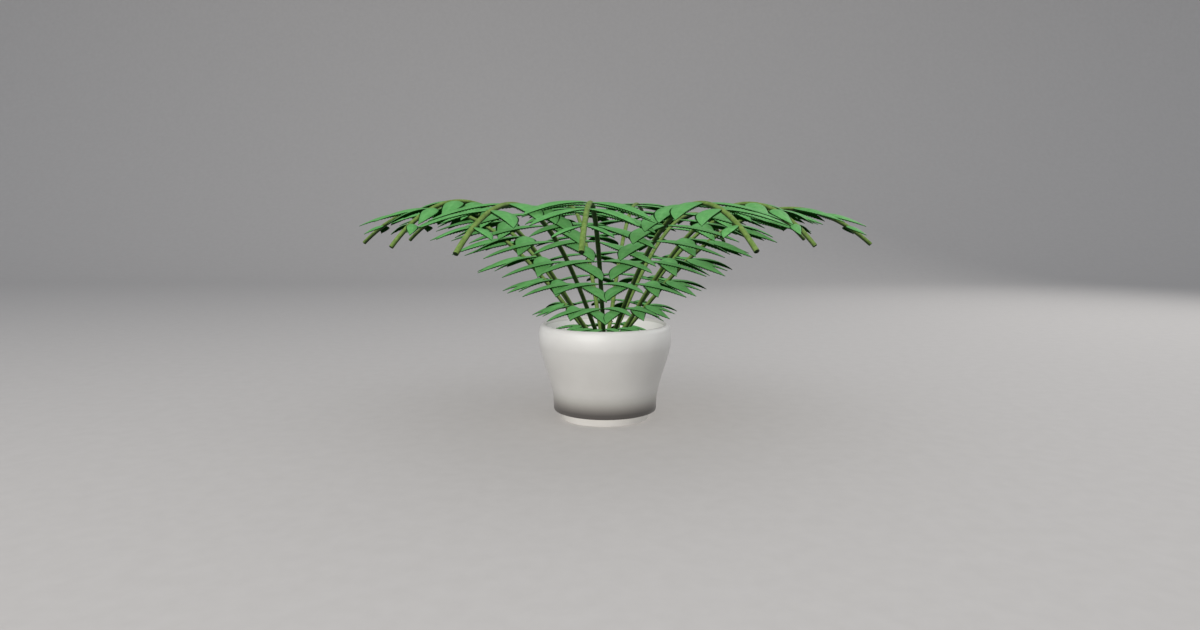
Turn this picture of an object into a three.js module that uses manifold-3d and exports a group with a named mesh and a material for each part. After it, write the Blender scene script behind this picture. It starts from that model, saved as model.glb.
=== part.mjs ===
// Potted feather fern: twelve arching fronds that rise from soil in a round ceramic pot.
// Units are millimetres, +Z is up, and the origin is the centre of the pot's foot.
// Azimuths are in degrees, counted from -Y (the front) towards +X.
import * as THREE from 'three';
import { mergeVertices } from 'three/addons/utils/BufferGeometryUtils.js';
import Module from 'manifold-3d';

const wasm = await Module();
wasm.setup();

// Clearance between pieces that touch
const SEAT_GAP = 0.3;

// Pot, as radius and height: foot, outer wall from heel to rim, and the lip's inner side
const POT_FOOT = { radius: 49.5, height: 9.6 };
const POT_HEEL = [[57.9, 10], [58.5, 11.5]];
const POT_WALL = [[59, 25.3], [61.8, 39.3], [68, 59.8], [73.6, 78.3], [75, 89.3]];
const POT_RIM = [[74.7, 99.3], [73.4, 105.3], [71.3, 107.8]];
const POT_LIP = [[68.6, 107.9], [66.9, 105.7]];
const POT_FLOOR = { radius: 46.5, height: 14.5 };
const POT_SIDES = 38;

// Soil: a low mound inside the pot, just under the sight line over the rim
const SOIL_EDGE_HEIGHT = 83.3;
const SOIL_SHOULDER = { radius: 36, height: 86.3 };
const SOIL_CROWN_HEIGHT = 87.8;

// Arch that all fronds share, as a cubic curve of distance from the pot's axis and height
const ARCH_CROWN = { outward: 25.4, height: 102.4 };
const ARCH_RISE = { outward: 71.6, height: 157.4 };
const ARCH_OVER = { outward: 165.7, height: 306.7 };
const ARCH_TIP = { outward: 286.4, height: 200.2 };

// Roots: below the crown each stem turns upright, to end on a small ring, evenly spread
const ROOT_RING_RADIUS = 14.5;
const ROOT_HEIGHT = 61.3;
const ROOT_UPRIGHT = 18;
const ROOT_LEAN = 14;
const ROOT_FIRST_AZIMUTH = -165;

// Stem section and the hole it stands in
const STEM_RADIUS = 2.5;
const STEM_SIDES = 5;
const STEM_STEPS = 18;
const HOLE_RADIUS = 3.6;
const HOLE_SIDES = 6;
const HOLE_STEPS = 2;

// Fronds, from the back left round: azimuth, reach and lift (size against the shared arch,
// level and upright) and tilt (how far the arch is turned up in its own plane, in degrees)
const FRONDS = [
  { azimuth: -166.7, reach: 0.99, lift: 0.99, tilt: 1.4 },
  { azimuth: -116.7, reach: 0.965, lift: 0.965, tilt: 0.2 },
  { azimuth: -103, reach: 1.03, lift: 1.03, tilt: -1.5 },
  { azimuth: -55.5, reach: 0.835, lift: 1.09, tilt: -2.6 },
  { azimuth: -23.8, reach: 1.035, lift: 1.035, tilt: -1 },
  { azimuth: -3.9, reach: 1.025, lift: 1.025, tilt: -0.3 },
  { azimuth: 23.7, reach: 1.03, lift: 1.03, tilt: -0.5 },
  { azimuth: 57, reach: 0.813, lift: 1.05, tilt: -1.4 },
  { azimuth: 83.5, reach: 1.005, lift: 1.005, tilt: -0.6 },
  { azimuth: 116.8, reach: 0.995, lift: 0.995, tilt: -0.3 },
  { azimuth: 144, reach: 0.99, lift: 0.99, tilt: -1.7 },
  { azimuth: 167.5, reach: 1.02, lift: 1.02, tilt: 1.2 },
];
const FROND_SPACING = 360 / FRONDS.length;

// Pairs of leaflets: distance of the root along the arch, the tip's place against the root,
// the blade's width and its number of steps
const PAIRS = [
  { along: 2, forward: 20, sideways: 20, rise: -7, width: 10, steps: 3 },
  { along: 34, forward: 25, sideways: 31, rise: -11, width: 14, steps: 3 },
  { along: 70, forward: 29.5, sideways: 43.5, rise: -12.3, width: 17, steps: 4 },
  { along: 103, forward: 36.5, sideways: 52, rise: -14, width: 19.5, steps: 4 },
  { along: 133.5, forward: 41, sideways: 55.5, rise: -14.6, width: 21, steps: 4 },
  { along: 160, forward: 44, sideways: 55, rise: -14.5, width: 22, steps: 4 },
  { along: 184, forward: 45, sideways: 55, rise: -14.5, width: 22, steps: 4 },
  { along: 208, forward: 45, sideways: 54, rise: -14, width: 21.5, steps: 4 },
  { along: 232, forward: 43, sideways: 51, rise: -13.5, width: 20, steps: 4 },
  { along: 262, forward: 37, sideways: 41, rise: -12.5, width: 17, steps: 4 },
  { along: 292, forward: 14, sideways: 24, rise: -9, width: 11, steps: 3 },
];

// Leaflets at one side of a stem point this much further forward, those at the other less
const SIDE_SKEW = 2;

// Blade of a leaflet: bow of its middle as a share of its length, outline and thickness
const BOW = { forward: -0.12, sideways: 0.1, rise: 0.13 };
const BLADE_WIDEST_AT = 0.42;
const BLADE_SWELL = 0.75;
const BLADE_TAPER = 0.95;
const BLADE_ROOT_WIDTH = 2.4;
const BLADE_TIP_WIDTH = 0.8;
const BLADE_THICKNESS = 0.8;
const BLADE_CLEARANCE = 0.25;

// Ways in which a leaflet is bent clear of its neighbours: how far its tip is carried
// forward and up, how much further than half of that its middle is carried, and what
// each millimetre counts for when the least bend is picked
const BEND_FORWARDS = [0, 5, -5, 10, -10, 16, -16];
const BEND_RISES = [0, -1.5, 1.5, -3, 3, -4.5, 4.5, -6, 6, -9, 9];
const BEND_AT_MIDDLE = 0.5;
const BEND_COSTS = { forward: 0.55, rise: 1.6 };

const POT_SURFACE = { color: 0xe6e4e0, roughness: 0.35 };
const SOIL_SURFACE = { color: 0x3a2d22, roughness: 1 };
const FROND_SURFACE = { color: 0x5aa555, roughness: 0.55 };

const degrees = (angle) => angle * Math.PI / 180;
const profilePoint = ([radius, height]) => new THREE.Vector2(radius, height);

// A closed mesh as a solid that can be cut and joined
function solidOf(geometry) {
  const bare = geometry.clone();
  bare.deleteAttribute('normal');
  bare.deleteAttribute('uv');
  const merged = mergeVertices(bare, 1e-4);
  return new wasm.Manifold(new wasm.Mesh({
    numProp: 3,
    vertProperties: new Float32Array(merged.attributes.position.array),
    triVerts: new Uint32Array(merged.index.array),
  }));
}

function geometryOf(solid) {
  const mesh = solid.getMesh();
  const geometry = new THREE.BufferGeometry();
  geometry.setAttribute('position', new THREE.BufferAttribute(new Float32Array(mesh.vertProperties), 3));
  geometry.setIndex(new THREE.BufferAttribute(new Uint32Array(mesh.triVerts), 1));
  geometry.computeVertexNormals();
  return geometry;
}

function meshOf(name, geometry, surface) {
  const mesh = new THREE.Mesh(geometry, new THREE.MeshStandardMaterial(surface));
  mesh.name = name;
  return mesh;
}

// A closed profile turned about the pot's axis
function turned(profile) {
  return new THREE.LatheGeometry(profile, POT_SIDES).rotateX(Math.PI / 2);
}

// Pot: turned about its axis, with a recessed foot and a rounded lip
function makePot() {
  const profile = [
    new THREE.Vector2(0, 0),
    new THREE.Vector2(POT_FOOT.radius, 0),
    new THREE.Vector2(POT_FOOT.radius, POT_FOOT.height),
    ...[...POT_HEEL, ...POT_WALL, ...POT_RIM, ...POT_LIP].map(profilePoint),
    new THREE.Vector2(POT_FLOOR.radius, POT_FLOOR.height),
    new THREE.Vector2(0, POT_FLOOR.height),
  ];
  return meshOf('pot', turned(profile), POT_SURFACE);
}

// Radius of the pot's inner wall at a height
function innerRadius(height) {
  const [mouthRadius, mouthHeight] = POT_LIP.at(-1);
  const share = (height - POT_FLOOR.height) / (mouthHeight - POT_FLOOR.height);
  return POT_FLOOR.radius + (mouthRadius - POT_FLOOR.radius) * share;
}

// Soil: fills the pot to a low mound, with a plain hole for each stem
function makeSoil(holes) {
  const bottom = POT_FLOOR.height + SEAT_GAP;
  const profile = [
    new THREE.Vector2(0, bottom),
    new THREE.Vector2(innerRadius(bottom) - SEAT_GAP, bottom),
    new THREE.Vector2(innerRadius(SOIL_EDGE_HEIGHT) - SEAT_GAP, SOIL_EDGE_HEIGHT),
    new THREE.Vector2(SOIL_SHOULDER.radius, SOIL_SHOULDER.height),
    new THREE.Vector2(0, SOIL_CROWN_HEIGHT),
  ];
  let soil = solidOf(turned(profile));
  for (const hole of holes) {
    soil = soil.subtract(hole);
  }
  return meshOf('soil', geometryOf(soil), SOIL_SURFACE);
}

// Place in a frond's own upright plane, turned to its azimuth
function place(frond, outward, sideways, height) {
  const azimuth = degrees(frond.azimuth);
  return new THREE.Vector3(
    outward * Math.sin(azimuth) + sideways * Math.cos(azimuth),
    -outward * Math.cos(azimuth) + sideways * Math.sin(azimuth),
    height,
  );
}

// The same for a place on the shared arch, which is turned and scaled about the crown
function onArch(frond, outward, sideways, height) {
  const tilt = degrees(frond.tilt);
  const out = (outward - ARCH_CROWN.outward) * frond.reach;
  const up = (height - ARCH_CROWN.height) * frond.lift;
  return place(
    frond,
    ARCH_CROWN.outward + out * Math.cos(tilt) - up * Math.sin(tilt),
    sideways * frond.reach,
    ARCH_CROWN.height + out * Math.sin(tilt) + up * Math.cos(tilt),
  );
}

function archCurve(frond) {
  const points = [ARCH_CROWN, ARCH_RISE, ARCH_OVER, ARCH_TIP]
    .map((point) => onArch(frond, point.outward, 0, point.height));
  return new THREE.CubicBezierCurve3(...points);
}

const SHARED_ARCH = archCurve({ azimuth: 90, reach: 1, lift: 1, tilt: 0 });
const SHARED_ARCH_LENGTH = SHARED_ARCH.getLength();

function rootEnd(slot) {
  const azimuth = degrees(ROOT_FIRST_AZIMUTH + FROND_SPACING * slot);
  return new THREE.Vector3(
    ROOT_RING_RADIUS * Math.sin(azimuth),
    -ROOT_RING_RADIUS * Math.cos(azimuth),
    ROOT_HEIGHT,
  );
}

function rootCurve(frond, slot) {
  const end = rootEnd(slot);
  const crown = onArch(frond, ARCH_CROWN.outward, 0, ARCH_CROWN.height);
  const rise = onArch(frond, ARCH_RISE.outward, 0, ARCH_RISE.height);
  const lean = rise.sub(crown).setLength(ROOT_LEAN);
  return new THREE.CubicBezierCurve3(
    end,
    end.clone().setZ(ROOT_HEIGHT + ROOT_UPRIGHT),
    crown.clone().sub(lean),
    crown,
  );
}

function tubeAlong(curve, radius, sides, steps) {
  const corners = [];
  for (let i = 0; i < sides; i += 1) {
    const angle = 2 * Math.PI * i / sides;
    corners.push(new THREE.Vector2(radius * Math.cos(angle), radius * Math.sin(angle)));
  }
  const section = new THREE.Shape(corners);
  return new THREE.ExtrudeGeometry(section, { steps, extrudePath: curve, bevelEnabled: false });
}

function stemPath(frond, slot) {
  const path = new THREE.CurvePath();
  path.add(rootCurve(frond, slot));
  path.add(archCurve(frond));
  return path;
}

function makeStem(frond, slot) {
  return solidOf(tubeAlong(stemPath(frond, slot), STEM_RADIUS, STEM_SIDES, STEM_STEPS));
}

// A hole has a level bottom and follows the straight runs of the stem's lower end
function makeHole(frond, slot) {
  const stations = stemPath(frond, slot).getSpacedPoints(STEM_STEPS).slice(0, HOLE_STEPS + 1);
  const bottom = stations[0].clone().setZ(ROOT_HEIGHT - SEAT_GAP);
  const path = new THREE.CurvePath();
  path.add(new THREE.LineCurve3(bottom, stations[0]));
  for (let i = 0; i < HOLE_STEPS; i += 1) {
    path.add(new THREE.LineCurve3(stations[i], stations[i + 1]));
  }
  return solidOf(tubeAlong(path, HOLE_RADIUS, HOLE_SIDES, HOLE_STEPS));
}

// Middle line of a leaflet, from inside the stem to its tip
function leafletCurve(frond, pair, side, bend) {
  const root = SHARED_ARCH.getPointAt(pair.along / SHARED_ARCH_LENGTH);
  const forward = pair.forward - side * SIDE_SKEW + bend.forward;
  const rise = pair.rise + bend.rise;
  const length = Math.hypot(forward, pair.sideways, rise);
  return new THREE.QuadraticBezierCurve3(
    onArch(frond, root.x, 0, root.z),
    onArch(
      frond,
      root.x + forward / 2 + length * BOW.forward + bend.forward * BEND_AT_MIDDLE,
      side * (pair.sideways / 2 + length * BOW.sideways),
      root.z + rise / 2 + length * BOW.rise + bend.rise * BEND_AT_MIDDLE,
    ),
    onArch(frond, root.x + forward, side * pair.sideways, root.z + rise),
  );
}

// Outline of a blade: swells from its root to its widest place and tapers to its tip
function bladeWidth(at, width) {
  const swell = Math.sin(Math.PI / 2 * Math.min(at / BLADE_WIDEST_AT, 1));
  const taper = Math.cos(Math.PI / 2 * Math.max(at - BLADE_WIDEST_AT, 0) / (1 - BLADE_WIDEST_AT));
  const least = BLADE_ROOT_WIDTH + (BLADE_TIP_WIDTH - BLADE_ROOT_WIDTH) * at;
  return Math.max(width * swell ** BLADE_SWELL * taper ** BLADE_TAPER, least);
}

const BLADE_CORNERS = [[1, 1], [-1, 1], [-1, -1], [1, -1]];
const BLADE_TIP_CORNERS = [[0, 1], [0, -1]];

// A blade is a flat bar bent along its middle line, level across, and comes to a point.
// Its upper and lower faces are split along the same diagonals.
function bladeGeometry(curve, pair, grow) {
  const up = new THREE.Vector3(0, 0, 1);
  const positions = [];
  const triangles = [];
  for (let i = 0; i <= pair.steps; i += 1) {
    const at = i / pair.steps;
    const centre = curve.getPoint(at);
    const tangent = curve.getTangent(at);
    const across = new THREE.Vector3().crossVectors(up, tangent).normalize();
    const normal = new THREE.Vector3().crossVectors(tangent, across);
    across.multiplyScalar(bladeWidth(at, pair.width) / 2 + grow);
    normal.multiplyScalar(BLADE_THICKNESS / 2 + grow);
    for (const [a, n] of i < pair.steps ? BLADE_CORNERS : BLADE_TIP_CORNERS) {
      const corner = centre.clone().addScaledVector(across, a).addScaledVector(normal, n);
      positions.push(corner.x, corner.y, corner.z);
    }
  }
  for (let i = 0; i < pair.steps - 1; i += 1) {
    const here = 4 * i;
    const there = here + 4;
    for (const [k, next] of [[0, 1], [1, 2], [3, 0]]) {
      triangles.push(here + k, there + next, there + k);
      triangles.push(here + k, here + next, there + next);
    }
    triangles.push(here + 2, here + 3, there + 2);
    triangles.push(here + 3, there + 3, there + 2);
  }
  triangles.push(0, 2, 1);
  triangles.push(0, 3, 2);
  const last = 4 * (pair.steps - 1);
  const tip = last + 4;
  triangles.push(last, last + 1, tip);
  triangles.push(last + 1, last + 2, tip + 1);
  triangles.push(last + 1, tip + 1, tip);
  triangles.push(last + 2, last + 3, tip + 1);
  triangles.push(last + 3, last, tip);
  triangles.push(last + 3, tip, tip + 1);
  const geometry = new THREE.BufferGeometry();
  geometry.setAttribute('position', new THREE.Float32BufferAttribute(positions, 3));
  geometry.setIndex(triangles);
  return geometry;
}

// What already stands: solids with their boxes, and the frond each belongs to, if any
const standing = [];

function stand(solid, owner) {
  const box = solid.boundingBox();
  standing.push({ solid, owner, box });
}

function isClear(guard, owner) {
  const box = guard.boundingBox();
  const near = standing.filter((other) => other.owner !== owner
    && [0, 1, 2].every((axis) => other.box.min[axis] < box.max[axis] && box.min[axis] < other.box.max[axis]));
  return near.every((other) => guard.intersect(other.solid).isEmpty());
}

function bendChoices() {
  const choices = [];
  for (const forward of BEND_FORWARDS) {
    for (const rise of BEND_RISES) {
      const cost = BEND_COSTS.forward * Math.abs(forward) + BEND_COSTS.rise * Math.abs(rise);
      choices.push({ forward, rise, cost });
    }
  }
  return choices.sort((a, b) => a.cost - b.cost);
}

// The first way to bend a leaflet that keeps it clear of every other frond
function makeLeaflet(frond, slot, pair, side) {
  for (const bend of bendChoices()) {
    const curve = leafletCurve(frond, pair, side, bend);
    const guard = solidOf(bladeGeometry(curve, pair, BLADE_CLEARANCE));
    if (isClear(guard, slot)) {
      return solidOf(bladeGeometry(curve, pair, 0));
    }
  }
  return null;
}

// The leaflets of one level, those whose tips are nearest the front first
function leafletsFromTheFront(pair) {
  const straight = { forward: 0, rise: 0 };
  const leaflets = FRONDS.flatMap((frond, slot) => [1, -1].map((side) => (
    { frond, slot, side, depth: leafletCurve(frond, pair, side, straight).v2.y })));
  return leaflets.sort((a, b) => a.depth - b.depth);
}

// Fronds: all stems stand first, then the pairs of leaflets, from the lowest pair up
function makeFronds(around) {
  around.forEach((mesh) => stand(solidOf(mesh.geometry), null));
  const stems = FRONDS.map((frond, slot) => makeStem(frond, slot));
  stems.forEach((stem, slot) => stand(stem, slot));
  const fronds = [...stems];
  for (const pair of PAIRS) {
    for (const { frond, slot, side } of leafletsFromTheFront(pair)) {
      const leaflet = makeLeaflet(frond, slot, pair, side);
      if (leaflet) {
        stand(leaflet, slot);
        fronds[slot] = fronds[slot].add(leaflet);
      }
    }
  }
  return fronds.map((solid, slot) => meshOf(
    `frond_${String(slot + 1).padStart(2, '0')}`,
    geometryOf(solid),
    FROND_SURFACE,
  ));
}

const fern = new THREE.Group();
fern.name = 'potted_feather_fern';
const pot = makePot();
const soil = makeSoil(FRONDS.map((frond, slot) => makeHole(frond, slot)));
fern.add(pot, soil, ...makeFronds([pot, soil]));

export default fern;
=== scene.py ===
# Potted feather fern: twelve arching fronds with toothed leaflets, soil and a glazed pot.
# Lengths are millimetres and angles degrees, except where a comment or a shader says metres.
# Meshes are made in metres, with +Z up and the front at -Y.
import bpy
import math
import random
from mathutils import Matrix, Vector, kdtree, noise


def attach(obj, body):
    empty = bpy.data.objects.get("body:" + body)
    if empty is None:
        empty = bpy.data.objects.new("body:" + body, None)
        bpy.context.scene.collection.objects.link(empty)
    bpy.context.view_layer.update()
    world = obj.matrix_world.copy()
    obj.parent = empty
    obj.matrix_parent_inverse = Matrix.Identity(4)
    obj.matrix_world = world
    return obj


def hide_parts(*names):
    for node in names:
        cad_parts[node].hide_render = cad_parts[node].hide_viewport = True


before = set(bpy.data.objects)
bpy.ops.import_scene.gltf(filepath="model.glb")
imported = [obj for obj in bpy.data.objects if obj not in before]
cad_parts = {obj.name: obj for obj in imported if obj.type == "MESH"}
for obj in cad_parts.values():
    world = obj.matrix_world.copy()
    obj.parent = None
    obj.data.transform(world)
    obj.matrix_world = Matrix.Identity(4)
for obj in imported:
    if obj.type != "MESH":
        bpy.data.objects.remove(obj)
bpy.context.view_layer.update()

MM = 0.001
SEED = 7

# Camera, set to the photograph's viewing angle
CAMERA_PLACE = (-5.7, -918, 230.3)
CAMERA_PITCH = 82.97
CAMERA_LENS = 24.51
CAMERA_SENSOR = 36

# Lights, none of which casts a shadow: name, place and size in metres, power and colour
LIGHTS = [
    ("fill", (-1.1, -2.2, 1.0), 2.4, 48, (1, 0.975, 0.94)),
    ("key", (0.4, -0.8, 2.2), 1.4, 11, (1, 0.99, 0.97)),
    ("rim", (1.4, 0.9, 1.2), 1.6, 12, (1, 0.99, 0.98)),
]
LIGHT_AIM = (0, 0, 0.12)
SKY_COLOUR = (0.86, 0.91, 1, 1)
SKY_STRENGTH = 0.5

# Paper sweep, in metres: front edge, where it starts to bend, bend, top and half its width
SWEEP_FRONT = -5
SWEEP_BEND = 1.8
SWEEP_RADIUS = 1.6
SWEEP_TOP = 3.5
SWEEP_HALF_WIDTH = 6
SWEEP_STEPS = 24

# Pot, as radius and height: foot, under-edge, heel, wall, rounded rim and inside
POT_FOOT = [(0, 0), (48.8, 0), (49.4, 0.6), (49.5, 8.8), (49.8, 9.5)]
POT_UNDER = [(56.9, 9.7)]
POT_HEEL = [(57.9, 10.1), (58.4, 11.3)]
POT_WALL = [(58.9, 25.3), (61.4, 37.8), (64.8, 50.3), (68.4, 61.3), (71.6, 71.8), (74.1, 81.8)]
POT_SHOULDER = [(74.9, 88.8), (74.8, 96.3)]
POT_RIM = [(74.3, 101.8), (73.3, 105.1), (71.6, 107.3), (70, 107.9), (68.4, 107.6), (67.3, 106.6)]
POT_INSIDE = [(66.8, 104.5), (62.6, 83.3), (56.8, 57.3), (51.2, 32.3), (48.4, 17.4)]
POT_FLOOR = [(46, 14.9), (0, 14.5)]
POT_SIDES = 144
POT_SHARP_ANGLE = 55

# Soil: a low mound, as radius and height, over a skirt that steps in from its edge
SOIL_EDGE = (62.2, 83.3)
SOIL_SHOULDER = (36, 86.3)
SOIL_CROWN_HEIGHT = 87.8
SOIL_DEPTH = 9
SOIL_SKIRT_STEP = 2
SOIL_RINGS = 40
SOIL_SIDES = 120

# Lumps of the soil: height, fineness and layer of the coarse noise and of the fine noise, and
# the share of the fine ones
SOIL_LUMPS = 1.1
COARSE_LUMPS = (0.09, 3)
FINE_LUMPS = (0.42, 9)
FINE_LUMPS_SHARE = 0.7

# Crumbs on the soil: lumps with six uneven corners, lifted by a share of their size
CRUMB_COUNT = 900
CRUMB_SIZES = (0.5, 1.7)
CRUMB_UNEVENNESS = (0.7, 1.3)
CRUMB_LIFT = 0.3
CRUMB_EDGE_GAP = 3
CRUMB_CORNERS = [(1, 0, 0), (-1, 0, 0), (0, 1, 0), (0, -1, 0), (0, 0, 1), (0, 0, -1)]
CRUMB_FACES = [
    (0, 2, 4), (2, 1, 4), (1, 3, 4), (3, 0, 4),
    (2, 0, 5), (1, 2, 5), (3, 1, 5), (0, 3, 5),
]

# Arch that all fronds share, as distance from the pot's axis and height
ARCH_CROWN = (25.4, 102.4)
ARCH_RISE = (71.6, 157.4)
ARCH_OVER = (165.7, 306.7)
ARCH_TIP = (286.4, 200.2)
ARCH_CORNERS = (ARCH_CROWN, ARCH_RISE, ARCH_OVER, ARCH_TIP)
ARCH_SAMPLES = 2000

# Roots, where the stems turn upright in the soil
ROOT_RING_RADIUS = 14.5
ROOT_HEIGHT = 61.3
ROOT_UPRIGHT = 18
ROOT_LEAN = 14
ROOT_FIRST_AZIMUTH = -165

# Stems, flatter above than below, with painted light where they face up and painted shade where they face
# down
STEM_RADIUS = 2.4
STEM_SIDES = 12
STEM_ROOT_STEPS = 14
STEM_ARCH_STEPS = 72
STEM_END_ROUNDING = 0.5
STEM_TOP_FLATNESS = 0.9
STEM_TONE_STEEPNESS = 7
STEM_TONE_SHIFT = 0.02

# Fronds, from the back left round: azimuth, reach, lift and tilt
FRONDS = [
    (-166.7, 0.99, 0.99, 1.4),
    (-116.7, 0.965, 0.965, 0.2),
    (-103, 1.03, 1.03, -1.5),
    (-55.5, 0.835, 1.09, -2.6),
    (-23.8, 1.035, 1.035, -1),
    (-3.9, 1.025, 1.025, -0.3),
    (23.7, 1.03, 1.03, -0.5),
    (57, 0.813, 1.05, -1.4),
    (83.5, 1.005, 1.005, -0.6),
    (116.8, 0.995, 0.995, -0.3),
    (144, 0.99, 0.99, -1.7),
    (167.5, 1.02, 1.02, 1.2),
]

# Pairs of leaflets: distance of the root along the arch, the tip's place against the root
# (forward, sideways, rise) and the blade's width
PAIRS = [
    (2, 20, 20, -7, 10),
    (34, 25, 31, -11, 14),
    (70, 29.5, 43.5, -12.3, 17),
    (103, 36.5, 52, -14, 19.5),
    (133.5, 41, 55.5, -14.6, 21),
    (160, 44, 55, -14.5, 22),
    (184, 45, 55, -14.5, 22),
    (208, 45, 54, -14, 21.5),
    (232, 43, 51, -13.5, 20),
    (262, 37, 41, -12.5, 17),
    (292, 14, 24, -9, 11),
]

# Sides of a stem: tips of side 1 are set back by the skew, tips of side -1 are set forward
SIDES = (1, -1)
SIDE_SKEW = 2

# Bow of a leaflet's middle, as shares of its length
BOW_FORWARD = -0.12
BOW_SIDEWAYS = 0.1
BOW_RISE = 0.13

# Blades, shaped as on the solids but fuller: where they are widest, how they swell and taper,
# and how much fuller they are, most of all low on the arch
BLADE_WIDEST_AT = 0.42
BLADE_SWELL = 0.75
BLADE_TAPER = 0.85
BLADE_ROOT_WIDTH = 2.4
BLADE_TIP_WIDTH = 0.8
BLADE_THICKNESS = 0.8
BLADE_EDGE_THICKNESS = 0.45
BLADE_FULLNESS = 1.1
LOW_BLADE_FULLNESS = 0.22
LOW_BLADES_END = 150
BLADE_SHARP_ANGLE = 50

# Cup of a blade, as a share of its half width, and the share of that which lifts its middle
BLADE_CAMBER = 0.27
BLADE_CAMBER_LEVEL = 0.2

# Ways in which a leaflet is bent clear of its neighbours: how far its tip is carried forward
# and up, and how much further than half of that its middle is carried
BEND_FORWARDS = (0, 5, -5, 10, -10, 16, -16)
BEND_RISES = (0, -1.5, 1.5, -3, 3, -4.5, 4.5, -6, 6, -9, 9)
BEND_AT_MIDDLE = 0.5
TIP_TOLERANCE = 0.1

# Leaflet detail: teeth along each edge, veins towards them and a sunken middle line; veins and
# line are at full size where half the blade is wider than a share of its greatest width
LEAST_TEETH = 5
TOOTH_SPACING = 3.4
TOOTH_DEPTH = 0.13
TOOTH_CURVE = 3
TOOTH_PEAK = 0.82
VEIN_SLANT = 0.07
VEIN_HEIGHT = 0.16
RIB_DEPTH = 0.3
RIB_REACH = 0.2
FULL_DETAIL_SHARE = 0.3
BLADE_COLUMNS = (-1, -0.86, -0.64, -0.33, -0.1, 0, 0.1, 0.33, 0.64, 0.86, 1)

# Tones of the leaflets, from 0 for dark to 1 for pale
PLAIN_TONE = 0.5
BLADE_TONES = (0.38, 0.6)
VEIN_TONE = 0.1
HOLLOW_TONE = -0.06
# The middle line is lightened as a painted highlight
RIB_PAINTED_HIGHLIGHT = 0.26
RIB_HIGHLIGHT_REACH = 0.15

# Material slots of the pot
OUTSIDE, INSIDE = 0, 1

# Material slots of a frond
STEM, END, UPPER, UNDER = 0, 1, 2, 3

# Glaze: its top in metres, and its colours at shares of that height: painted light on the foot,
# painted shade over the heel that fades up the lower wall, and painted light on the rim
GLAZE_TOP = 0.11
GLAZE_LIGHT_AND_SHADE_STOPS = [
    (0.0, (1, 0.98, 0.95)),
    (0.078, (1, 0.98, 0.95)),
    (0.088, (0.11, 0.10, 0.095)),
    (0.13, (0.115, 0.105, 0.10)),
    (0.17, (0.245, 0.23, 0.215)),
    (0.214, (0.41, 0.395, 0.37)),
    (0.256, (0.55, 0.54, 0.51)),
    (0.31, (0.67, 0.66, 0.64)),
    (0.37, (0.73, 0.72, 0.70)),
    (0.76, (0.75, 0.745, 0.73)),
    (0.9, (0.95, 0.95, 0.935)),
]

# Leaf colours for dark, middle and light mottling, and what a blade's tone makes of them
UPPER_GREENS = [(0.086, 0.298, 0.077), (0.112, 0.354, 0.099), (0.138, 0.398, 0.122)]
# The underside's greens are near black, as painted shade
UNDER_SHADE_GREENS = [(0.001, 0.011, 0.001), (0.003, 0.020, 0.002), (0.006, 0.032, 0.004)]
MOTTLE_STOPS = (0.25, 0.5, 0.75)
LEAF_TONE_STOPS = [(0.0, (0.62, 0.68, 0.6)), (0.5, (1, 1, 1)), (1.0, (1.3, 1.15, 1.2))]
LEAF_ROUGHNESS_SPREAD = 0.08

# Specular level that the shader has of its own
PLAIN_SPECULAR = 0.5


def make_camera():
    data = bpy.data.cameras.new("camera")
    data.lens = CAMERA_LENS
    data.sensor_width = CAMERA_SENSOR
    camera = bpy.data.objects.new("camera", data)
    camera.location = Vector(CAMERA_PLACE) * MM
    camera.rotation_euler = (math.radians(CAMERA_PITCH), 0, 0)
    bpy.context.collection.objects.link(camera)
    bpy.context.scene.camera = camera


def make_light(name, place, size, power, colour):
    data = bpy.data.lights.new(name, "AREA")
    data.shape = "DISK"
    data.size = size
    data.energy = power
    data.color = colour
    data.use_shadow = False
    light = bpy.data.objects.new(name, data)
    light.location = place
    aim = Vector(LIGHT_AIM) - Vector(place)
    light.rotation_euler = aim.to_track_quat("-Z", "Y").to_euler()
    bpy.context.collection.objects.link(light)


def make_sweep():
    """Floor that runs back and curves up into a wall, so that no horizon shows."""
    profile = [(SWEEP_FRONT, 0), (SWEEP_BEND, 0)]
    for i in range(1, SWEEP_STEPS + 1):
        angle = math.pi / 2 * i / SWEEP_STEPS
        back = SWEEP_BEND + SWEEP_RADIUS * math.sin(angle)
        profile.append((back, SWEEP_RADIUS * (1 - math.cos(angle))))
    profile.append((SWEEP_BEND + SWEEP_RADIUS, SWEEP_TOP))
    points = [(x, y, z) for y, z in profile for x in (-SWEEP_HALF_WIDTH, SWEEP_HALF_WIDTH)]
    faces = [(2 * i, 2 * i + 1, 2 * i + 3, 2 * i + 2) for i in range(len(profile) - 1)]
    mesh = bpy.data.meshes.new("sweep")
    mesh.from_pydata(points, [], faces)
    mesh.polygons.foreach_set("use_smooth", [True] * len(faces))
    mesh.materials.append(sweep_material())
    sweep = bpy.data.objects.new("sweep", mesh)
    bpy.context.collection.objects.link(sweep)


def make_studio():
    world = bpy.data.worlds.new("studio")
    world.use_nodes = True
    background = world.node_tree.nodes["Background"]
    background.inputs["Color"].default_value = SKY_COLOUR
    background.inputs["Strength"].default_value = SKY_STRENGTH
    bpy.context.scene.world = world
    bpy.context.scene.view_settings.view_transform = "Standard"
    for light in LIGHTS:
        make_light(*light)
    make_sweep()


def start_material(name):
    material = bpy.data.materials.new(name)
    material.use_nodes = True
    nodes = material.node_tree.nodes
    return material, nodes, material.node_tree.links, nodes["Principled BSDF"]


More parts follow.
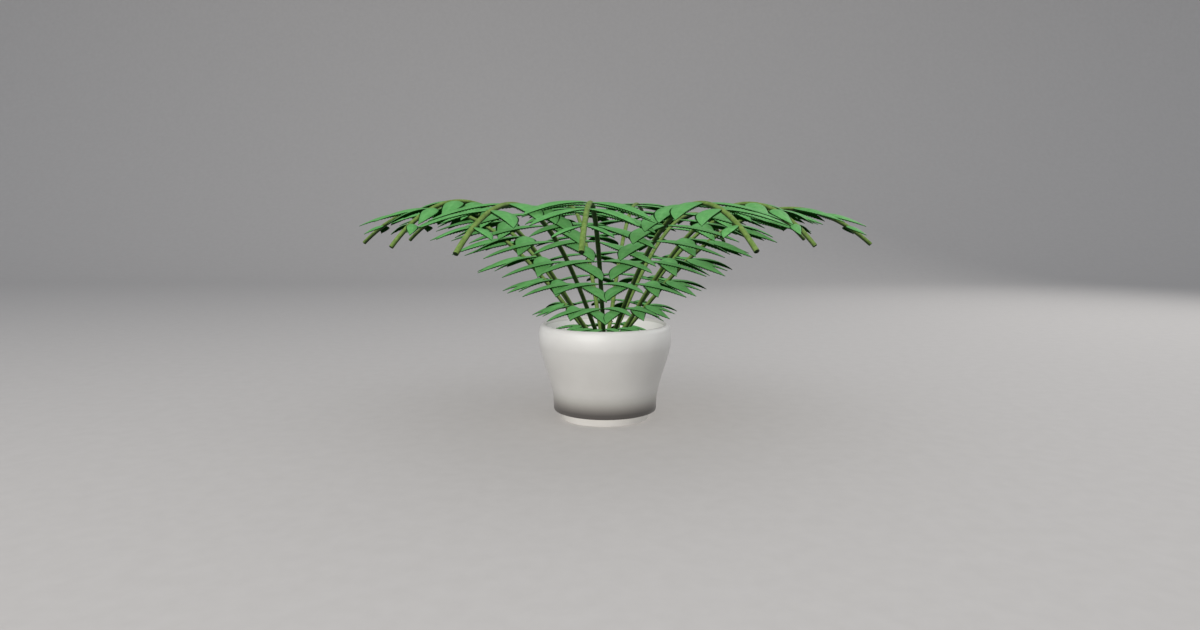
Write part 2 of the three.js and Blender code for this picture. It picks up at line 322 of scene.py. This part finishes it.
def add_noise(nodes, links, scale, detail, stretch=(1, 1, 1)):
    place = nodes.new("ShaderNodeTexCoord")
    mapping = nodes.new("ShaderNodeMapping")
    mapping.inputs["Scale"].default_value = stretch
    texture = nodes.new("ShaderNodeTexNoise")
    texture.inputs["Scale"].default_value = scale
    texture.inputs["Detail"].default_value = detail
    links.new(place.outputs["Object"], mapping.inputs["Vector"])
    links.new(mapping.outputs["Vector"], texture.inputs["Vector"])
    return texture.outputs["Fac"]


def add_ramp(nodes, links, source, stops):
    ramp = nodes.new("ShaderNodeValToRGB")
    elements = ramp.color_ramp.elements
    while len(elements) < len(stops):
        elements.new(0.5)
    for element, (position, colour) in zip(elements, stops):
        element.position = position
        element.color = (*colour, 1)
    links.new(source, ramp.inputs["Fac"])
    return ramp.outputs["Color"]


def add_mix(nodes, links, mode, amount, first, second):
    mix = nodes.new("ShaderNodeMix")
    mix.data_type = "RGBA"
    mix.blend_type = mode
    if isinstance(amount, float):
        mix.inputs["Factor"].default_value = amount
    else:
        links.new(amount, mix.inputs["Factor"])
    links.new(first, mix.inputs["A"])
    links.new(second, mix.inputs["B"])
    return mix.outputs["Result"]


def add_bump(nodes, links, shader, source, strength, distance):
    bump = nodes.new("ShaderNodeBump")
    bump.inputs["Strength"].default_value = strength
    bump.inputs["Distance"].default_value = distance
    links.new(source, bump.inputs["Height"])
    links.new(bump.outputs["Normal"], shader.inputs["Normal"])


def add_range(nodes, links, source, low, high):
    spread = nodes.new("ShaderNodeMapRange")
    spread.inputs["To Min"].default_value = low
    spread.inputs["To Max"].default_value = high
    links.new(source, spread.inputs["Value"])
    return spread.outputs["Result"]


def add_tone(nodes):
    """The tone that a mesh carries in its points."""
    tone = nodes.new("ShaderNodeAttribute")
    tone.attribute_name = "tone"
    return tone.outputs["Fac"]


def add_height(nodes, links, top):
    """Share of the way from the floor to the top."""
    place = nodes.new("ShaderNodeTexCoord")
    parts = nodes.new("ShaderNodeSeparateXYZ")
    spread = nodes.new("ShaderNodeMapRange")
    spread.inputs["From Max"].default_value = top
    links.new(place.outputs["Object"], parts.inputs["Vector"])
    links.new(parts.outputs["Z"], spread.inputs["Value"])
    return spread.outputs["Result"]


def grained_material(name, scale, detail, stops, roughness, strength, distance, specular=PLAIN_SPECULAR):
    """A surface whose one grain gives both its colour and its relief."""
    material, nodes, links, shader = start_material(name)
    grain = add_noise(nodes, links, scale, detail)
    links.new(add_ramp(nodes, links, grain, stops), shader.inputs["Base Color"])
    shader.inputs["Roughness"].default_value = roughness
    shader.inputs["Specular IOR Level"].default_value = specular
    add_bump(nodes, links, shader, grain, strength, distance)
    return material


def sweep_material():
    stops = [(0.3, (0.49, 0.47, 0.45)), (0.7, (0.51, 0.49, 0.47))]
    return grained_material(
        "sweep_paper", scale=60, detail=3, stops=stops, roughness=0.9, strength=0.03, distance=0.001)


# Inside of the pot: the same white glaze painted lighter than the outside, as painted light
def inner_glaze_painted_light_material():
    stops = [(0.3, (0.92, 0.91, 0.89)), (0.7, (0.95, 0.94, 0.925))]
    return grained_material(
        "pot_inner_glaze_painted_light", scale=30, detail=3, stops=stops, roughness=0.45, strength=0.1, distance=0.0005)


def soil_material():
    stops = [
        (0.32, (0.010, 0.007, 0.005)),
        (0.55, (0.042, 0.028, 0.018)),
        (0.72, (0.095, 0.066, 0.044)),
    ]
    return grained_material(
        "soil_crumb", scale=420, detail=6, stops=stops, roughness=0.95, strength=0.8, distance=0.0012)


def end_material():
    stops = [(0.3, (0.004, 0.010, 0.003)), (0.7, (0.014, 0.028, 0.009))]
    return grained_material(
        "stem_end", scale=900, detail=3, stops=stops, roughness=0.8, strength=0.4, distance=0.0003,
        specular=0.04)


def glaze_material():
    """White glaze with faint clouds, specks and ripples, painted shade at the heel and light on foot and
    rim.
    """
    material, nodes, links, shader = start_material("pot_glaze")
    cloud = add_noise(nodes, links, scale=22, detail=4)
    tint = add_ramp(nodes, links, cloud, [(0.3, (0.74, 0.73, 0.71)), (0.7, (0.80, 0.795, 0.775))])
    # Painted shade over the heel and lower wall, painted light on the foot and the rim, by height
    painted_light_and_shade = add_ramp(nodes, links, add_height(nodes, links, GLAZE_TOP), GLAZE_LIGHT_AND_SHADE_STOPS)
    links.new(add_mix(nodes, links, "MULTIPLY", 1.0, tint, painted_light_and_shade), shader.inputs["Base Color"])
    speck = add_noise(nodes, links, scale=900, detail=2)
    links.new(add_range(nodes, links, speck, low=0.3, high=0.46), shader.inputs["Roughness"])
    shader.inputs["Coat Weight"].default_value = 0.25
    shader.inputs["Coat Roughness"].default_value = 0.25
    ripple = add_noise(nodes, links, scale=45, detail=2, stretch=(1, 1, 2.5))
    add_bump(nodes, links, shader, ripple, strength=0.12, distance=0.0006)
    return material


def leaf_material(name, greens, roughness, specular):
    """Mottled green that the blades' tones darken and lighten."""
    material, nodes, links, shader = start_material(name)
    mottle = add_noise(nodes, links, scale=160, detail=5)
    colour = add_ramp(nodes, links, mottle, list(zip(MOTTLE_STOPS, greens)))
    shade = add_ramp(nodes, links, add_tone(nodes), LEAF_TONE_STOPS)
    links.new(add_mix(nodes, links, "MULTIPLY", 1.0, colour, shade), shader.inputs["Base Color"])
    low = roughness - LEAF_ROUGHNESS_SPREAD
    high = roughness + LEAF_ROUGHNESS_SPREAD
    links.new(add_range(nodes, links, mottle, low, high), shader.inputs["Roughness"])
    shader.inputs["Specular IOR Level"].default_value = specular
    grain = add_noise(nodes, links, scale=1400, detail=3)
    add_bump(nodes, links, shader, grain, strength=0.25, distance=0.0002)
    return material


def stem_material():
    """Streaked skin, painted shade as deep green at tone 0 and painted light as pale green at tone 1."""
    material, nodes, links, shader = start_material("stem_skin")
    streak = add_noise(nodes, links, scale=300, detail=4)
    pale = add_ramp(nodes, links, streak, [(0.3, (0.105, 0.185, 0.035)), (0.7, (0.20, 0.31, 0.078))])
    deep = add_ramp(nodes, links, streak, [(0.3, (0.006, 0.016, 0.004)), (0.7, (0.018, 0.040, 0.010))])
    links.new(add_mix(nodes, links, "MIX", add_tone(nodes), deep, pale), shader.inputs["Base Color"])
    shader.inputs["Roughness"].default_value = 0.55
    shader.inputs["Specular IOR Level"].default_value = 0.1
    add_bump(nodes, links, shader, streak, strength=0.3, distance=0.0003)
    return material


class Build:
    """Points, faces, material slots and tones that are gathered for one mesh."""

    def __init__(self):
        self.points = []
        self.faces = []
        self.slots = []
        self.tones = []

    def point(self, place, tone=PLAIN_TONE):
        self.points.append(tuple(place))
        self.tones.append(tone)
        return len(self.points) - 1

    def face(self, corners, slot=0):
        self.faces.append(corners)
        self.slots.append(slot)

    def finish(self, name, materials, smooth=True):
        mesh = bpy.data.meshes.new(name)
        mesh.from_pydata([Vector(p) * MM for p in self.points], [], self.faces)
        mesh.polygons.foreach_set("material_index", self.slots)
        mesh.polygons.foreach_set("use_smooth", [smooth] * len(self.faces))
        attribute = mesh.attributes.new("tone", "FLOAT", "POINT")
        attribute.data.foreach_set("value", self.tones)
        for material in materials:
            mesh.materials.append(material)
        mesh.update()
        piece = bpy.data.objects.new(name, mesh)
        bpy.context.collection.objects.link(piece)
        return piece


def settle(piece, node):
    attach(piece, "root")
    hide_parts(node)


def angles_round(sides):
    return [2 * math.pi * k / sides for k in range(sides)]


def flat_ring(build, radius, height, sides):
    """Corners of a level circle, or its middle again and again where it has no radius."""
    if radius == 0:
        return [build.point((0, 0, height))] * sides
    return [build.point((radius * math.cos(angle), radius * math.sin(angle), height))
            for angle in angles_round(sides)]


def turn_profile(build, profile, first_inside):
    """Rings about the axis; the bands from the given ring on are the pot's inside."""
    rings = [flat_ring(build, radius, height, POT_SIDES) for radius, height in profile]
    for i, (lower, upper) in enumerate(zip(rings, rings[1:])):
        slot = INSIDE if i >= first_inside else OUTSIDE
        for k in range(POT_SIDES):
            after = (k + 1) % POT_SIDES
            corners = [lower[k], lower[after], upper[after], upper[k]]
            build.face(list(dict.fromkeys(corners)), slot)


def make_pot():
    build = Build()
    outside = POT_FOOT + POT_UNDER + POT_HEEL + POT_WALL + POT_SHOULDER + POT_RIM
    turn_profile(build, outside + POT_INSIDE + POT_FLOOR, len(outside))
    pot = build.finish("pot_glazed", [glaze_material(), inner_glaze_painted_light_material()])
    pot.data.set_sharp_from_angle(angle=math.radians(POT_SHARP_ANGLE))
    settle(pot, "pot")


def soil_height(radius):
    shoulder_radius, shoulder_height = SOIL_SHOULDER
    edge_radius, edge_height = SOIL_EDGE
    if radius < shoulder_radius:
        share = radius / shoulder_radius
        return SOIL_CROWN_HEIGHT + (shoulder_height - SOIL_CROWN_HEIGHT) * share * share
    share = (radius - shoulder_radius) / (edge_radius - shoulder_radius)
    return shoulder_height + (edge_height - shoulder_height) * share


def lumps(x, y, fineness, layer):
    return noise.noise((x * fineness, y * fineness, layer))


def soil_point(radius, angle, lift=0):
    """A place on the lumpy mound, lifted off it if wanted."""
    x = radius * math.cos(angle)
    y = radius * math.sin(angle)
    unevenness = lumps(x, y, *COARSE_LUMPS) + FINE_LUMPS_SHARE * lumps(x, y, *FINE_LUMPS)
    return x, y, soil_height(radius) + SOIL_LUMPS * unevenness + lift


def add_mound(build):
    """Rings from the middle of the mound to its edge, then its skirt and its underside."""
    edge_radius, edge_height = SOIL_EDGE
    rings = [[build.point(soil_point(0, 0))] * SOIL_SIDES]
    for i in range(1, SOIL_RINGS + 1):
        radius = edge_radius * i / SOIL_RINGS
        rings.append([build.point(soil_point(radius, angle)) for angle in angles_round(SOIL_SIDES)])
    for radius in (edge_radius - SOIL_SKIRT_STEP, 0):
        rings.append(flat_ring(build, radius, edge_height - SOIL_DEPTH, SOIL_SIDES))
    for inner, outer in zip(rings, rings[1:]):
        for k in range(SOIL_SIDES):
            after = (k + 1) % SOIL_SIDES
            corners = [inner[k], outer[k], outer[after], inner[after]]
            build.face(list(dict.fromkeys(corners)))


def add_crumb(build, centre, size, draw):
    corners = []
    for direction in CRUMB_CORNERS:
        reach = size * draw.uniform(*CRUMB_UNEVENNESS)
        corners.append(build.point(Vector(centre) + Vector(direction) * reach))
    for face in CRUMB_FACES:
        build.face([corners[i] for i in face])


def make_soil():
    build = Build()
    add_mound(build)
    draw = random.Random(SEED)
    for _ in range(CRUMB_COUNT):
        radius = (SOIL_EDGE[0] - CRUMB_EDGE_GAP) * math.sqrt(draw.random())
        size = draw.uniform(*CRUMB_SIZES)
        centre = soil_point(radius, draw.uniform(0, 2 * math.pi), CRUMB_LIFT * size)
        add_crumb(build, centre, size, draw)
    soil = build.finish("soil_mound", [soil_material()], smooth=False)
    settle(soil, "soil")


def cubic(points, t):
    a, b, c, d = points
    s = 1 - t
    return a * (s * s * s) + b * (3 * s * s * t) + c * (3 * s * t * t) + d * (t * t * t)


def cubic_slope(points, t):
    a, b, c, d = points
    s = 1 - t
    return (b - a) * (3 * s * s) + (c - b) * (6 * s * t) + (d - c) * (3 * t * t)


def shared_arch_places():
    """Evenly counted points of the shared arch with their distance along it."""
    points = [Vector(corner) for corner in ARCH_CORNERS]
    places = [(0.0, points[0])]
    for i in range(1, ARCH_SAMPLES + 1):
        place = cubic(points, i / ARCH_SAMPLES)
        places.append((places[-1][0] + (place - places[-1][1]).length, place))
    return places


SHARED_ARCH = shared_arch_places()


def arch_place(along):
    for (before, low), (after, high) in zip(SHARED_ARCH, SHARED_ARCH[1:]):
        if after >= along:
            return low.lerp(high, (along - before) / (after - before))
    return SHARED_ARCH[-1][1]


def on_arch(frond, outward, sideways, height):
    """A place by the shared arch, turned and scaled about its crown as this frond is."""
    azimuth, reach, lift, tilt = frond
    azimuth = math.radians(azimuth)
    tilt = math.radians(tilt)
    out = (outward - ARCH_CROWN[0]) * reach
    up = (height - ARCH_CROWN[1]) * lift
    away = ARCH_CROWN[0] + out * math.cos(tilt) - up * math.sin(tilt)
    side = sideways * reach
    return Vector((
        away * math.sin(azimuth) + side * math.cos(azimuth),
        -away * math.cos(azimuth) + side * math.sin(azimuth),
        ARCH_CROWN[1] + out * math.sin(tilt) + up * math.cos(tilt),
    ))


def curve_stations(points, steps, count):
    return [(cubic(points, i / steps), cubic_slope(points, i / steps)) for i in range(count)]


def stem_stations(frond, order):
    """Places and slopes from the stem's root to its end, for the frond of that order."""
    arch = [on_arch(frond, outward, 0, height) for outward, height in ARCH_CORNERS]
    azimuth = math.radians(ROOT_FIRST_AZIMUTH + order * 360 / len(FRONDS))
    x = ROOT_RING_RADIUS * math.sin(azimuth)
    y = -ROOT_RING_RADIUS * math.cos(azimuth)
    end = Vector((x, y, ROOT_HEIGHT))
    lean = (arch[1] - arch[0]).normalized() * ROOT_LEAN
    root = [end, end + Vector((0, 0, ROOT_UPRIGHT)), arch[0] - lean, arch[0]]
    stations = curve_stations(root, STEM_ROOT_STEPS, STEM_ROOT_STEPS)
    return stations + curve_stations(arch, STEM_ARCH_STEPS, STEM_ARCH_STEPS + 1)


def stem_ring(build, place, slope, radius, side):
    """Corners round a stem, flatter above, with painted light where they face up and painted shade below.
    """
    above = slope.cross(side).normalized()
    if above.z < 0:
        above = -above
    across = above.cross(slope).normalized()
    ring = []
    for k in range(STEM_SIDES):
        angle = 2 * math.pi * (k + 0.5) / STEM_SIDES
        facing = across * math.cos(angle) + above * math.sin(angle)
        # Painted light and shade: the tone runs from the dark underside to the pale top
        tone = 1 / (1 + math.exp(-STEM_TONE_STEEPNESS * (facing.z + STEM_TONE_SHIFT)))
        flatness = STEM_TOP_FLATNESS if math.sin(angle) > 0 else 1
        corner = across * math.cos(angle) + above * (math.sin(angle) * flatness)
        ring.append(build.point(place + corner * radius, tone))
    return ring


def add_stem(build, frond, order):
    """A tube along the stem with a blunt rounded end."""
    azimuth = math.radians(frond[0])
    side = Vector((math.cos(azimuth), math.sin(azimuth), 0))
    stations = [(place, slope.normalized(), STEM_RADIUS) for place, slope in stem_stations(frond, order)]
    tip, slope, _ = stations[-1]
    stations[-1] = (tip - slope * STEM_END_ROUNDING, slope, STEM_RADIUS)
    stations.append((tip, slope, STEM_RADIUS - STEM_END_ROUNDING))
    rings = [stem_ring(build, *station, side) for station in stations]
    for i, (lower, upper) in enumerate(zip(rings, rings[1:])):
        slot = END if i == len(rings) - 2 else STEM
        for k in range(STEM_SIDES):
            after = (k + 1) % STEM_SIDES
            build.face([lower[k], upper[k], upper[after], lower[after]], slot)
    build.face(list(rings[0]), STEM)
    build.face(list(reversed(rings[-1])), END)


def leaflet_points(frond, pair, side, bend):
    """Root, middle and tip of a leaflet's curve."""
    along, forward, sideways, rise, _ = pair
    bend_forward, bend_rise = bend
    root = arch_place(along)
    forward += bend_forward - side * SIDE_SKEW
    rise += bend_rise
    length = math.sqrt(forward * forward + sideways * sideways + rise * rise)
    middle = on_arch(
        frond,
        root.x + forward / 2 + length * BOW_FORWARD + bend_forward * BEND_AT_MIDDLE,
        side * (sideways / 2 + length * BOW_SIDEWAYS),
        root.y + rise / 2 + length * BOW_RISE + bend_rise * BEND_AT_MIDDLE,
    )
    tip = on_arch(frond, root.x + forward, side * sideways, root.y + rise)
    return on_arch(frond, root.x, 0, root.y), middle, tip


def leaflet_frame(points, t):
    """Centre, across and normal of a blade at a share of its length."""
    root, middle, tip = points
    s = 1 - t
    centre = root * (s * s) + middle * (2 * s * t) + tip * (t * t)
    tangent = ((middle - root) * (2 * s) + (tip - middle) * (2 * t)).normalized()
    across = Vector((0, 0, 1)).cross(tangent).normalized()
    return centre, across, tangent.cross(across)


def blade_width(t, width):
    swell = math.sin(math.pi / 2 * min(t / BLADE_WIDEST_AT, 1))
    taper = math.cos(math.pi / 2 * max(t - BLADE_WIDEST_AT, 0) / (1 - BLADE_WIDEST_AT))
    least = BLADE_ROOT_WIDTH + (BLADE_TIP_WIDTH - BLADE_ROOT_WIDTH) * t
    return max(width * swell ** BLADE_SWELL * max(taper, 0) ** BLADE_TAPER, least)


def full_width(pair):
    """Greatest width of a pair's blades, which are fullest low on the arch."""
    along, width = pair[0], pair[-1]
    fullness = BLADE_FULLNESS + LOW_BLADE_FULLNESS * max(1 - along / LOW_BLADES_END, 0)
    return width * fullness


def corner_tree(name):
    """The corners of one of the frame's solids, to be looked up by their place."""
    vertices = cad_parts[name].data.vertices
    tree = kdtree.KDTree(len(vertices))
    for vertex in vertices:
        tree.insert(vertex.co / MM, vertex.index)
    tree.balance()
    return tree


def find_bend(frond, pair, side, tree):
    """The bend whose tip the frond's solid has, or None where it has no leaflet."""
    for forward in BEND_FORWARDS:
        for rise in BEND_RISES:
            bend = (forward, rise)
            tip, _, normal = leaflet_frame(leaflet_points(frond, pair, side, bend), 1)
            corner = tip + normal * (BLADE_THICKNESS / 2)
            if tree.find(corner)[2] < TIP_TOLERANCE:
                return bend
    return None


def tooth_rows(points):
    """Shares of a blade's length: its root, then the peak and the end of each tooth."""
    root, middle, tip = points
    length = (middle - root).length + (tip - middle).length
    teeth = max(LEAST_TEETH, round(length / TOOTH_SPACING))
    rows = [0.0]
    for k in range(teeth):
        rows.append((k + TOOTH_PEAK) / teeth)
        rows.append((k + 1) / teeth)
    return rows


def add_blade_corners(build, points, width, row, at_peak, column, shade):
    """The corners above and below at one column of a row: at a tooth's peak or between teeth."""
    reach = abs(column)
    t = max(min(row + VEIN_SLANT * (reach - 1) * math.sin(math.pi * row), 1), 0)
    centre, across, normal = leaflet_frame(points, t)
    half = blade_width(t, width) / 2
    tooth = 1 if at_peak else 1 - TOOTH_DEPTH * reach ** TOOTH_CURVE
    thickness = BLADE_THICKNESS + (BLADE_EDGE_THICKNESS - BLADE_THICKNESS) * reach
    share = min(half / (FULL_DETAIL_SHARE * width), 1)
    vein = VEIN_HEIGHT * share * (math.sin(math.pi * reach) if at_peak else 0)
    groove = RIB_DEPTH * share * max(1 - reach / RIB_REACH, 0)
    cupped = BLADE_CAMBER * half * (BLADE_CAMBER_LEVEL - (reach * tooth) ** 2)
    place = centre + across * (column * half * tooth) + normal * cupped
    tone = shade + (VEIN_TONE if at_peak else HOLLOW_TONE) * (1 - reach)
    # Painted highlight along the middle line
    tone += RIB_PAINTED_HIGHLIGHT * max(1 - reach / RIB_HIGHLIGHT_REACH, 0)
    above = build.point(place + normal * (thickness / 2 + vein - groove), tone)
    below = build.point(place - normal * (thickness / 2))
    return above, below


def add_blade_faces(build, upper, lower):
    """The blade's top with painted shade on its margins, its underside, both edges and both ends."""
    last = len(BLADE_COLUMNS) - 1
    for i in range(len(upper) - 1):
        for j in range(last):
            # The outer bands of the top take the near-black underside material, as painted shade
            top = UNDER if j in (0, last - 1) else UPPER
            build.face([upper[i][j], upper[i + 1][j], upper[i + 1][j + 1], upper[i][j + 1]], top)
            build.face([lower[i][j], lower[i][j + 1], lower[i + 1][j + 1], lower[i + 1][j]], UNDER)
        build.face([upper[i][0], lower[i][0], lower[i + 1][0], upper[i + 1][0]], UNDER)
        build.face([upper[i][last], upper[i + 1][last], lower[i + 1][last], lower[i][last]], UNDER)
    for j in range(last):
        build.face([upper[0][j], upper[0][j + 1], lower[0][j + 1], lower[0][j]], UNDER)
        build.face([upper[-1][j], lower[-1][j], lower[-1][j + 1], upper[-1][j + 1]], UNDER)


def add_leaflet(build, points, width, draw):
    """A thin blade with toothed edges, veins that run to the teeth and a sunken rib."""
    shade = draw.uniform(*BLADE_TONES)
    upper = []
    lower = []
    for i, row in enumerate(tooth_rows(points)):
        at_peak = i % 2 == 1
        corners = [add_blade_corners(build, points, width, row, at_peak, column, shade)
                   for column in BLADE_COLUMNS]
        upper.append([above for above, _ in corners])
        lower.append([below for _, below in corners])
    add_blade_faces(build, upper, lower)


def make_frond(frond, order, materials, draw):
    name = f"frond_{order + 1:02d}"
    tree = corner_tree(name)
    build = Build()
    add_stem(build, frond, order)
    for pair in PAIRS:
        for side in SIDES:
            bend = find_bend(frond, pair, side, tree)
            if bend:
                add_leaflet(build, leaflet_points(frond, pair, side, bend), full_width(pair), draw)
    piece = build.finish(f"{name}_leafy", materials)
    piece.data.set_sharp_from_angle(angle=math.radians(BLADE_SHARP_ANGLE))
    settle(piece, name)


def make_fronds():
    materials = [
        stem_material(),
        end_material(),
        leaf_material("leaf_upper", UPPER_GREENS, roughness=0.5, specular=0.12),
        # The underside is near black, as painted shade
        leaf_material("leaf_under_painted_shade", UNDER_SHADE_GREENS, roughness=0.7, specular=0.0),
    ]
    draw = random.Random(SEED)
    for order, frond in enumerate(FRONDS):
        make_frond(frond, order, materials, draw)


make_camera()
make_studio()
make_pot()
make_soil()
make_fronds()
